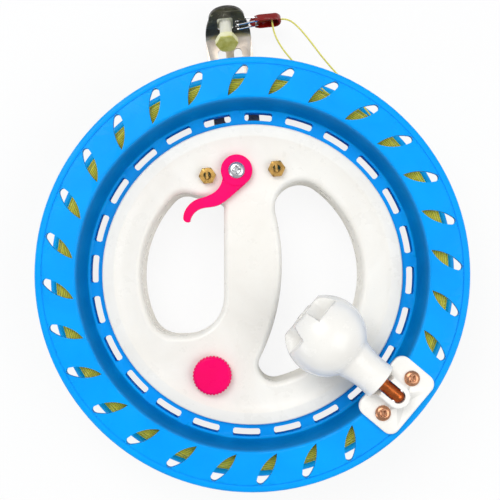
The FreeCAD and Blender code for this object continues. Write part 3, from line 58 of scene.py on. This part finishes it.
# Painted shade on the recess wall: a darker band all round, given by inner and outer radius and
# the width of its soft edge
WALL_SHADE_BAND = (0.0863, 0.0888, 0.0007)

# The hood's foot and lean, as in the part, and the heights between which the sheet rises to it
# and the hood's painted shade fades in
HOOD_Y = 0.1305
HOOD_Z = 0.0033
HOOD_LEAN = 58.0
HOOD_SHADE_RISE = (0.0046, 0.0080)

# Along the post from the hood: where the thread ends, the head starts and its face lies; head and
# face take painted shade
THREAD_END = (0.0096, 0.0100)
HEAD_START = (0.0099, 0.0106)
HEAD_FACE = (0.0139, 0.0143)
THREAD_PITCH = 0.0008

SMOOTH_ANGLE = 28.0

# Wound line: the outer turns on the drum
WIND_TURNS = 34
WIND_STEPS = 150
WIND_SIDES = 8
WIND_START = 2.06
WIND_R = 0.09965
WIND_LINE_D = 0.00098
WIND_LOW = 0.0113
WIND_HIGH = 0.0427
WIND_PUFF = 0.00010
WIND_SWAY = 0.10
WIND_WAVES = 6

# Loose line: points in millimetres from the clip to where the line dips between the flanges
STRAND_D = 0.0009
LEFT_ROUTE = (
    (24.4, 137.438, 11.219),
    (24.4, 133.129, 13.912),
    (24.9, 127.6, 14.9),
    (27.6, 120.2, 16.0),
    (32.6, 112.2, 17.2),
    (39.2, 103.4, 18.2),
    (47.4, 94.6, 18.6),
    (56.2, 85.8, 18.8),
    (65.2, 77.6, 19.0),
)
RIGHT_ROUTE = (
    (29.29, 136.011, 12.120),
    (32.9, 136.011, 12.120),
    (38.0, 131.2, 12.7),
    (43.4, 122.6, 14.6),
    (49.6, 111.4, 16.8),
    (57.4, 100.2, 18.2),
    (66.0, 87.0, 19.2),
    (76.4, 69.4, 20.4),
    (85.6, 54.6, 21.2),
)

# Floor and lamps
FLOOR_HALF = 3.0
FLOOR_DROP = 0.0002
FLOOR_GLOW = 0.86
LAMP_TARGET = (0, 0, 0.03)
SKY = (0.93, 0.95, 1.0, 1.0)
SKY_POWER = 0.53
PURE_WHITE = (1.0, 1.0, 1.0, 1.0)


def add_object(name, data):
    """A new object for this data, linked to the scene."""
    obj = bpy.data.objects.new(name, data)
    scene.collection.objects.link(obj)
    return obj


# Camera


def make_camera():
    data = bpy.data.cameras.new("photo_camera")
    data.sensor_width = SENSOR_MM
    data.lens = SENSOR_MM * VIEW_DISTANCE / VIEW_WIDTH
    data.shift_x = -(CENTRE_PX[0] - PICTURE_PX / 2) / PICTURE_PX
    data.shift_y = (CENTRE_PX[1] - PICTURE_PX / 2) / PICTURE_PX
    data.clip_start = NEAR
    data.clip_end = FAR
    camera = add_object("photo_camera", data)
    camera.location = (0.0, 0.0, CAMERA_Z)
    camera.rotation_euler = (0.0, 0.0, -math.radians(ROLL))
    scene.camera = camera


make_camera()


# Materials


def is_socket(value):
    return isinstance(value, bpy.types.NodeSocket)


class Graph:
    """A material's node tree, with short calls for the nodes that are used here."""

    def __init__(self, name):
        self.mat = bpy.data.materials.new(name)
        self.mat.use_nodes = True
        self.tree = self.mat.node_tree
        self.bsdf = self.tree.nodes["Principled BSDF"]
        self.out = self.tree.nodes["Material Output"]
        self.co = self.add("ShaderNodeTexCoord").outputs["Object"]
        self.normal = None

    def add(self, kind, **fields):
        node = self.tree.nodes.new(kind)
        for key, value in fields.items():
            setattr(node, key, value)
        return node

    def put(self, socket, value):
        if is_socket(value):
            self.tree.links.new(value, socket)
        else:
            socket.default_value = value

    def apart(self):
        """The x, y and z of a point on the piece."""
        node = self.add("ShaderNodeSeparateXYZ")
        self.put(node.inputs[0], self.co)
        return node.outputs[0], node.outputs[1], node.outputs[2]

    def axis_distance(self, x, y):
        """How far a point is from the wheel's axis."""
        flat = self.add("ShaderNodeCombineXYZ")
        self.put(flat.inputs[0], x)
        self.put(flat.inputs[1], y)
        size = self.add("ShaderNodeVectorMath", operation="LENGTH")
        self.put(size.inputs[0], flat.outputs[0])
        return size.outputs["Value"]

    def scaled(self, scale, turn=(0, 0, 0)):
        node = self.add("ShaderNodeMapping")
        self.put(node.inputs["Vector"], self.co)
        node.inputs["Scale"].default_value = scale
        node.inputs["Rotation"].default_value = [math.radians(a) for a in turn]
        return node.outputs[0]

    def noise(self, scale, detail=3.0, rough=0.5, vector=None, bend=0.0):
        node = self.add("ShaderNodeTexNoise")
        self.put(node.inputs["Vector"], vector or self.co)
        node.inputs["Scale"].default_value = scale
        node.inputs["Detail"].default_value = detail
        node.inputs["Roughness"].default_value = rough
        node.inputs["Distortion"].default_value = bend
        return node.outputs["Fac"]

    def range(self, value, a, b, c=0.0, d=1.0):
        node = self.add("ShaderNodeMapRange", clamp=True)
        self.put(node.inputs["Value"], value)
        for key, number in (("From Min", a), ("From Max", b), ("To Min", c), ("To Max", d)):
            node.inputs[key].default_value = number
        return node.outputs[0]

    def math(self, op, a, b=0.0):
        node = self.add("ShaderNodeMath", operation=op)
        self.put(node.inputs[0], a)
        self.put(node.inputs[1], b)
        return node.outputs[0]

    def mix(self, fac, a, b):
        node = self.add("ShaderNodeMix", data_type="RGBA")
        self.put(node.inputs[0], fac)
        for socket, value in ((node.inputs[6], a), (node.inputs[7], b)):
            self.put(socket, value if is_socket(value) else (*value, 1.0))
        return node.outputs[2]

    def bump(self, height, distance, strength=1.0):
        node = self.add("ShaderNodeBump")
        self.put(node.inputs["Height"], height)
        node.inputs["Distance"].default_value = distance
        node.inputs["Strength"].default_value = strength
        if self.normal is not None:
            self.put(node.inputs["Normal"], self.normal)
        self.normal = node.outputs["Normal"]

    def finish(self, colour, rough, metallic=0.0, **sockets):
        self.put(self.bsdf.inputs["Base Color"], colour if is_socket(colour) else (*colour, 1.0))
        self.put(self.bsdf.inputs["Roughness"], rough)
        self.bsdf.inputs["Metallic"].default_value = metallic
        for key, value in sockets.items():
            self.bsdf.inputs[key].default_value = value
        if self.normal is not None:
            self.put(self.bsdf.inputs["Normal"], self.normal)
        return self.mat


def srgb(r, g, b):
    def linear(c):
        c /= 255.0
        return c / 12.92 if c <= 0.04045 else ((c + 0.055) / 1.055) ** 2.4
    return (linear(r), linear(g), linear(b))


def scaled_colour(colour, k):
    return tuple(min(1.0, c * k) for c in colour)


def scratches(g, density, turn):
    """Fine straight scratches: stretched noise, cut to thin lines and broken into patches."""
    lines = g.noise(1.0, 2.0, 0.6, g.scaled((60.0, 2600.0, 300.0), (0, 0, turn)))
    thin = g.range(lines, 0.70 - density, 0.74 - density)
    patch = g.range(g.noise(45.0, 2.0), 0.52, 0.66)
    return g.math("MULTIPLY", thin, patch)


def crossed_scratches(g, first, second):
    """Two sets of scratches, each given by its density and its turn in degrees."""
    return g.math("MAXIMUM", scratches(g, *first), scratches(g, *second))


def ring_band(g, inner, outer, edge):
    """One between two distances from the wheel's axis, fading over an edge."""
    x, y, _ = g.apart()
    reach = g.axis_distance(x, y)
    rise = g.range(reach, inner - edge, inner)
    fall = g.range(reach, outer, outer + edge, 1.0, 0.0)
    return g.math("MULTIPLY", rise, fall)


def plastic(name, colour, dark, rough=0.30, marks=0.04, wall_shade=None, **sockets):
    """Glossy moulded plastic: soft flow marks, fine mould grain, smudges and light scratches,
    and, where a wall shade band is given, a darker ring of painted shade.
    """
    g = Graph(name)
    flow = g.range(g.noise(22.0, 3.0, 0.55, bend=1.2), 0.32, 0.68)
    tint = g.mix(flow, dark, colour)
    specks = g.range(g.noise(900.0, 1.0), 0.70, 0.78)
    tint = g.mix(g.math("MULTIPLY", specks, 0.10), tint, scaled_colour(dark, 0.55))
    lines = crossed_scratches(g, (marks, 24.0), (marks, -51.0))
    tint = g.mix(g.math("MULTIPLY", lines, 0.22), tint, scaled_colour(colour, 1.25))
    # The darker ring on the recess wall is painted shade, not a colour of the plastic.
    if wall_shade:
        shade = g.math("MULTIPLY", ring_band(g, *wall_shade), 0.62)
        tint = g.mix(shade, tint, scaled_colour(dark, 0.30))
    smudge = g.range(g.noise(70.0, 4.0, 0.6), 0.35, 0.7, rough - 0.06, rough + 0.10)
    g.bump(g.noise(1700.0, 2.0, 0.6), 0.000012, 0.7)
    g.bump(g.noise(120.0, 2.0), 0.00005, 0.35)
    g.bump(g.math("MULTIPLY", lines, -1.0), 0.000015, 0.6)
    return g.finish(tint, g.math("ADD", smudge, g.math("MULTIPLY", lines, 0.2)), **sockets)


def metal(name, colour, dark, rough=0.25, marks=0.05, grime=0.35):
    """Metal with tarnish, polish marks and handling scratches."""
    g = Graph(name)
    stain_and_shade = g.range(g.noise(160.0, 4.0, 0.6, bend=0.8), 0.42, 0.72)
    tint = g.mix(g.math("MULTIPLY", stain_and_shade, grime), colour, dark)
    lines = crossed_scratches(g, (marks, 12.0), (marks, 77.0))
    tint = g.mix(g.math("MULTIPLY", lines, 0.35), tint, scaled_colour(colour, 1.2))
    smear = g.range(g.noise(240.0, 3.0, 0.6), 0.3, 0.7, rough - 0.07, rough + 0.12)
    g.bump(g.noise(600.0, 2.0), 0.00001, 0.6)
    g.bump(g.math("MULTIPLY", lines, -1.0), 0.00002, 0.6)
    return g.finish(tint, smear, metallic=1.0)


def sheet_metal(name):
    """The line guide's sheet: pale flat legs, a hood darkened with painted shade, roll lines and
    handling marks.
    """
    g = Graph(name)
    _, _, z = g.apart()
    stain_and_shade = g.range(g.noise(120.0, 4.0, 0.6, bend=1.5), 0.35, 0.7)
    legs = g.mix(stain_and_shade, (0.88, 0.76, 0.65), (0.62, 0.52, 0.44))
    # The hood's darker colour is painted shade on the same steel sheet as the legs.
    hood_shade = g.mix(stain_and_shade, (0.125, 0.12, 0.105), (0.06, 0.057, 0.05))
    tint = g.mix(g.range(z, *HOOD_SHADE_RISE), legs, hood_shade)
    worn = g.range(g.noise(420.0, 3.0, 0.6), 0.62, 0.75)
    tint = g.mix(g.math("MULTIPLY", worn, 0.45), tint, (0.78, 0.75, 0.70))
    lines = crossed_scratches(g, (0.06, 4.0), (0.05, 66.0))
    tint = g.mix(g.math("MULTIPLY", lines, 0.35), tint, (0.92, 0.90, 0.86))
    g.bump(g.noise(1.0, 2.0, 0.7, g.scaled((2400.0, 90.0, 300.0))), 0.000012, 0.4)
    g.bump(g.noise(260.0, 2.0), 0.00002, 0.5)
    g.bump(g.math("MULTIPLY", lines, -1.0), 0.00002, 0.6)
    smear = g.range(g.noise(200.0, 3.0, 0.6), 0.3, 0.7, 0.30, 0.46)
    return g.finish(tint, smear, metallic=0.85)


def post_nylon(name):
    """Cream nylon: a pale threaded shank, a yellower head that carries half of the painted shade,
    and an olive end face darkened with painted shade.
    """
    g = Graph(name)
    _, y, z = g.apart()
    lean = math.radians(HOOD_LEAN)
    down = g.math("MULTIPLY", g.math("SUBTRACT", y, HOOD_Y), -math.sin(lean))
    up = g.math("MULTIPLY", g.math("SUBTRACT", z, HOOD_Z), math.cos(lean))
    reach = g.math("ADD", down, up)
    head = g.range(reach, *HEAD_START)
    face = g.range(reach, *HEAD_FACE)
    cloud = g.range(g.noise(260.0, 3.0, 0.6), 0.35, 0.68)
    shank = g.mix(cloud, srgb(244, 243, 220), srgb(253, 252, 240))
    # The head's yellow tint is half-strength painted shade, and the olive face colour below it is
    # painted shade on the end face.
    head_half_shade = g.mix(cloud, srgb(228, 226, 168), srgb(244, 243, 208))
    stain_and_shade = g.mix(cloud, srgb(186, 182, 84), srgb(222, 219, 150))
    tint = g.mix(face, g.mix(head, shank, head_half_shade), stain_and_shade)
    rows = g.math("SINE", g.math("MULTIPLY", reach, 2.0 * math.pi / THREAD_PITCH))
    thread = g.math("MULTIPLY", rows, g.range(reach, *THREAD_END, 1.0, 0.0))
    g.bump(thread, 0.00012, 0.6)
    g.bump(g.noise(1500.0, 2.0, 0.6), 0.000012, 0.7)
    smudge = g.range(g.noise(90.0, 3.0), 0.3, 0.7, 0.32, 0.46)
    return g.finish(tint, smudge)


def wound_braid(name, colour, dark, pitch, wander, slant):
    """Fine braided line on the drum: crossed plaits on each turn, with painted shade between
    turns and in the hollows of the plait.
    """
    g = Graph(name)
    x, y, z = g.apart()
    reach = g.math("ADD", g.axis_distance(x, y), g.math("MULTIPLY", z, 0.6))
    angle = g.math("ARCTAN2", y, x)
    stray = g.math("MULTIPLY", g.math("SUBTRACT", g.noise(38.0, 2.0), 0.5), wander)
    turn = 2.0 * math.pi / pitch
    rows = g.math("SINE", g.math("MULTIPLY", g.math("ADD", reach, stray), turn))
    along = g.math("MULTIPLY", reach, turn * 1.9)
    across = g.math("MULTIPLY", angle, slant)
    one = g.math("SINE", g.math("ADD", along, across))
    two = g.math("SINE", g.math("SUBTRACT", along, across))
    plait = g.math("MAXIMUM", one, two)
    # The darker colour between turns and in the plait's hollows is painted shade.
    body = g.range(rows, -0.9, 0.5)
    shade = g.math("MULTIPLY", body, g.range(plait, -0.2, 1.0, 0.62, 1.0))
    patch = g.range(g.noise(55.0, 3.0), 0.3, 0.7, 0.82, 1.0)
    tint = g.mix(g.math("MULTIPLY", shade, patch), dark, colour)
    g.bump(rows, 0.00018, 0.9)
    g.bump(plait, 0.00006, 0.8)
    g.bump(g.noise(5200.0, 2.0), 0.00003, 0.5)
    return g.finish(tint, 0.62, **{"Sheen Weight": 0.25})


def cord_braid(name, colour, dark):
    """One plaited thread with a slight fuzz, for the loose strands and the outer turns."""
    g = Graph(name)
    knots = g.noise(2600.0, 2.0, 0.6)
    long_tone = g.range(g.noise(120.0, 2.0), 0.3, 0.7, 0.75, 1.0)
    tint = g.mix(g.math("MULTIPLY", g.range(knots, 0.3, 0.62), long_tone), dark, colour)
    g.bump(knots, 0.00008, 0.8)
    return g.finish(tint, 0.6, **{"Sheen Weight": 0.3})


SHINE = "Specular IOR Level"
MOULDED_BLUE = (srgb(0, 165, 250), srgb(0, 156, 244), 0.36, 0.03)

BLUE = plastic("blue_moulded", *MOULDED_BLUE, **{SHINE: 0.10})
# The front wheel's blue carries the painted shade ring on its recess wall.
BLUE_WALL_SHADED = plastic("blue_moulded_wall_shaded", *MOULDED_BLUE, WALL_SHADE_BAND, **{SHINE: 0.10})
WHITE = plastic("white_moulded", srgb(249, 246, 237), srgb(243, 239, 229), 0.30, 0.02)
KNOB_WHITE = plastic("white_knob", srgb(249, 247, 240), srgb(242, 239, 231), 0.24, 0.02)
PINK = plastic("pink_moulded", srgb(255, 0, 110), srgb(248, 0, 98), 0.28, 0.03, **{SHINE: 0.12})
GREY = plastic("grey_inner", srgb(150, 152, 156), srgb(132, 134, 138), 0.5, 0.03)
NYLON = post_nylon("cream_nylon")
STEEL = sheet_metal("polished_sheet")
SCREW_STEEL = metal("screw_steel", (0.74, 0.74, 0.75), (0.34, 0.33, 0.32), 0.26)
BRIGHT = metal("bright_wire", (0.86, 0.86, 0.87), (0.50, 0.49, 0.48), 0.14, 0.03, 0.2)
BRASS = metal("plated_brass", srgb(206, 164, 92), srgb(128, 88, 40), 0.27)
ROSE = metal("copper_screw", srgb(214, 156, 120), srgb(130, 78, 50), 0.25)
COPPER = metal("copper_plate", srgb(198, 104, 52), srgb(104, 40, 20), 0.25)
RED = plastic("red_enamel", srgb(150, 20, 14), srgb(104, 8, 7), 0.2, 0.06)
RUBBER = plastic("pad_rubber", srgb(52, 52, 54), srgb(38, 38, 40), 0.75, 0.02)
LINE_SIDE = wound_braid("wound_line_side", srgb(244, 234, 40), srgb(176, 164, 10),
                        pitch=0.00085, wander=0.0030, slant=90.0)
LINE_OUT = cord_braid("wound_line_outer", srgb(244, 234, 44), srgb(176, 166, 14))
STRAND = cord_braid("loose_line", srgb(240, 234, 120), srgb(200, 190, 60))

FINISH = {
    "frame_front": WHITE, "frame_back": WHITE, "frame_screws": SCREW_STEEL,
    "wheel_front": BLUE_WALL_SHADED, "wheel_back": BLUE, "wheel_screws": SCREW_STEEL,
    "bearing_balls": BRIGHT, "ball_cage": GREY,
    "brake_lever": PINK, "brake_lever_screw": SCREW_STEEL, "brake_crank": GREY,
    "brake_shoe": GREY, "brake_pad": RUBBER,
    "lock_knob": PINK, "lock_cam": GREY, "lock_cam_screw": SCREW_STEEL,
    "lock_shoe": GREY, "lock_pad": RUBBER,
    "guide_bracket": STEEL, "guide_bolts": BRASS, "guide_nuts": BRASS,
    "guide_post": NYLON, "guide_post_nut": NYLON,
    "clip_rings": BRIGHT, "line_clip": RED, "clip_pin": SCREW_STEEL,
    "knob_plate": KNOB_WHITE, "knob_plate_screws": ROSE, "knob_hinge_pin": SCREW_STEEL,
    "knob_spindle": COPPER, "winding_knob": KNOB_WHITE, "knob_washer": SCREW_STEEL,
    "knob_screw": SCREW_STEEL, "line_core": LINE_SIDE,
}
BODY_OF = {
    member: body
    for body, members in frame["record"]["behaviour"]["bodies"].items()
    for member in members
}


def stand_for(obj, node):
    """Lets an object take a CAD node's place: hides the node and puts the object in its body."""
    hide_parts(node)
    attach(obj, BODY_OF[node])


# Pieces that keep the part's own shape


def dress(node, material):
    """A copy of a CAD node with its triangles joined and smoothed, standing for the node."""
    mesh = frame["nodes"][node].data.copy()
    mesh.name = "dressed_" + node
    obj = add_object("dressed_" + node, mesh)
    bpy.ops.object.select_all(action="DESELECT")
    obj.select_set(True)
    bpy.context.view_layer.objects.active = obj
    bpy.ops.object.mode_set(mode="EDIT")
    bpy.ops.mesh.select_all(action="SELECT")
    bpy.ops.mesh.remove_doubles(threshold=0.000002)
    bpy.ops.mesh.tris_convert_to_quads(face_threshold=0.02, shape_threshold=0.6)
    bpy.ops.object.mode_set(mode="OBJECT")
    bpy.ops.object.shade_smooth_by_angle(angle=math.radians(SMOOTH_ANGLE))
    weigh = obj.modifiers.new("weighted", "WEIGHTED_NORMAL")
    weigh.keep_sharp = True
    bpy.ops.object.modifier_apply(modifier=weigh.name)
    mesh.materials.clear()
    mesh.materials.append(material)
    stand_for(obj, node)


for node, material in FINISH.items():
    dress(node, material)


# Wound line


def wound_line():
    """One line wound up the drum in a single layer, each turn a little uneven."""
    rng = np.random.default_rng(7)
    count = WIND_TURNS * WIND_STEPS
    t = np.linspace(0.0, 1.0, count)
    turn = t * WIND_TURNS
    around = 2.0 * np.pi * turn + WIND_START
    sway = np.zeros(count)
    puff = np.zeros(count)
    for wave in range(1, WIND_WAVES + 1):
        a, b, c, d = rng.uniform(-1.0, 1.0, 4)
        sway += (a * np.sin(wave * turn * 1.7 + 6.0 * b)) / wave
        puff += (c * np.sin(wave * turn * 2.3 + 6.0 * d)) / wave
    pitch = (WIND_HIGH - WIND_LOW) / WIND_TURNS
    radius = WIND_R + WIND_PUFF * puff
    height = WIND_LOW + (WIND_HIGH - WIND_LOW) * t + WIND_SWAY * pitch * sway
    centre = np.stack([radius * np.cos(around), radius * np.sin(around), height], axis=1)
    out = np.stack([np.cos(around), np.sin(around), np.zeros(count)], axis=1)
    up = np.array([0.0, 0.0, 1.0])
    r = WIND_LINE_D / 2
    rings = []
    for k in range(WIND_SIDES):
        a = 2.0 * math.pi * k / WIND_SIDES
        rings.append(centre + out * (r * math.cos(a)) + up * (r * math.sin(a)))
    verts = np.stack(rings, axis=1).reshape(-1, 3)
    faces = []
    for i in range(count - 1):
        for k in range(WIND_SIDES):
            m = (k + 1) % WIND_SIDES
            a, b = i * WIND_SIDES, (i + 1) * WIND_SIDES
            faces.append((a + k, b + k, b + m, a + m))
    faces.append(tuple(range(WIND_SIDES)))
    last = (count - 1) * WIND_SIDES
    faces.append(tuple(reversed(range(last, last + WIND_SIDES))))
    mesh = bpy.data.meshes.new("wound_line")
    mesh.from_pydata([tuple(v) for v in verts], [], faces)
    mesh.polygons.foreach_set("use_smooth", [True] * len(mesh.polygons))
    mesh.materials.append(LINE_OUT)
    stand_for(add_object("wound_line", mesh), "line_winding")


wound_line()


# Loose line


def loose_strand(node, route, name):
    """A loose strand through the points of its route."""
    curve = bpy.data.curves.new(name, "CURVE")
    curve.dimensions = "3D"
    curve.bevel_depth = STRAND_D / 2
    curve.bevel_resolution = 3
    curve.resolution_u = 14
    curve.use_fill_caps = True
    spline = curve.splines.new("NURBS")
    spline.points.add(len(route) - 1)
    for point, place in zip(spline.points, route):
        point.co = (*(v / MM for v in place), 1.0)
    spline.order_u = 3
    spline.use_endpoint_u = True
    obj = add_object(name, curve)
    curve.materials.append(STRAND)
    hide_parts(node)
    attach(obj, "frame")


loose_strand("line_strand_left", LEFT_ROUTE, "strand_left")
loose_strand("line_strand_right", RIGHT_ROUTE, "strand_right")


# Floor, lamps and world


def make_floor():
    """A white floor that the camera sees nearly as pure white, with a faint shadow."""
    mesh = bpy.data.meshes.new("floor")
    h = FLOOR_HALF
    mesh.from_pydata([(-h, -h, 0), (h, -h, 0), (h, h, 0), (-h, h, 0)], [], [(0, 1, 2, 3)])
    floor = add_object("floor", mesh)
    floor.location.z = -FLOOR_DROP
    g = Graph("floor_white")
    tint = g.mix(g.range(g.noise(4.0, 2.0), 0.3, 0.7), (0.88, 0.88, 0.88), (0.90, 0.90, 0.90))
    g.finish(tint, 0.8)
    glow = g.add("ShaderNodeEmission")
    glow.inputs["Color"].default_value = PURE_WHITE
    glow.inputs["Strength"].default_value = 1.0
    path = g.add("ShaderNodeLightPath")
    blend = g.add("ShaderNodeMixShader")
    direct = g.math("MAXIMUM", path.outputs["Is Camera Ray"], path.outputs["Is Transmission Ray"])
    g.put(blend.inputs[0], g.math("MULTIPLY", direct, FLOOR_GLOW))
    g.put(blend.inputs[1], g.bsdf.outputs[0])
    g.put(blend.inputs[2], glow.outputs[0])
    g.put(g.out.inputs["Surface"], blend.outputs[0])
    mesh.materials.append(g.mat)


def area_light(name, place, size, power, size_y=None):
    """A square lamp that looks at the winder, or an oblong one where size_y is given."""
    data = bpy.data.lights.new(name, "AREA")
    data.energy = power
    data.size = size
    if size_y:
        data.shape = "RECTANGLE"
        data.size_y = size_y
    light = add_object(name, data)
    light.location = place
    aim = Vector(LAMP_TARGET) - Vector(place)
    light.rotation_euler = aim.to_track_quat("-Z", "Y").to_euler()


def make_world():
    """Soft, slightly blue light from all round, in front of plain white."""
    world = bpy.data.worlds.new("studio")
    scene.world = world
    world.use_nodes = True
    tree = world.node_tree
    tree.nodes.clear()
    out = tree.nodes.new("ShaderNodeOutputWorld")
    light_path = tree.nodes.new("ShaderNodeLightPath")
    chosen = tree.nodes.new("ShaderNodeMixShader")
    tree.links.new(light_path.outputs["Is Camera Ray"], chosen.inputs[0])
    for place, (colour, power) in enumerate(((SKY, SKY_POWER), (PURE_WHITE, 1.0)), start=1):
        shade = tree.nodes.new("ShaderNodeBackground")
        shade.inputs["Color"].default_value = colour
        shade.inputs["Strength"].default_value = power
        tree.links.new(shade.outputs[0], chosen.inputs[place])
    tree.links.new(chosen.outputs[0], out.inputs["Surface"])


make_floor()
area_light("key", (-0.38, 0.66, 1.22), 0.85, 8.9)
area_light("fill", (0.75, -0.32, 1.0), 0.9, 5.5)
area_light("low_side", (-0.95, -0.45, 0.35), 0.5, 1.4, 0.3)
make_world()

scene.view_settings.view_transform = "Standard"
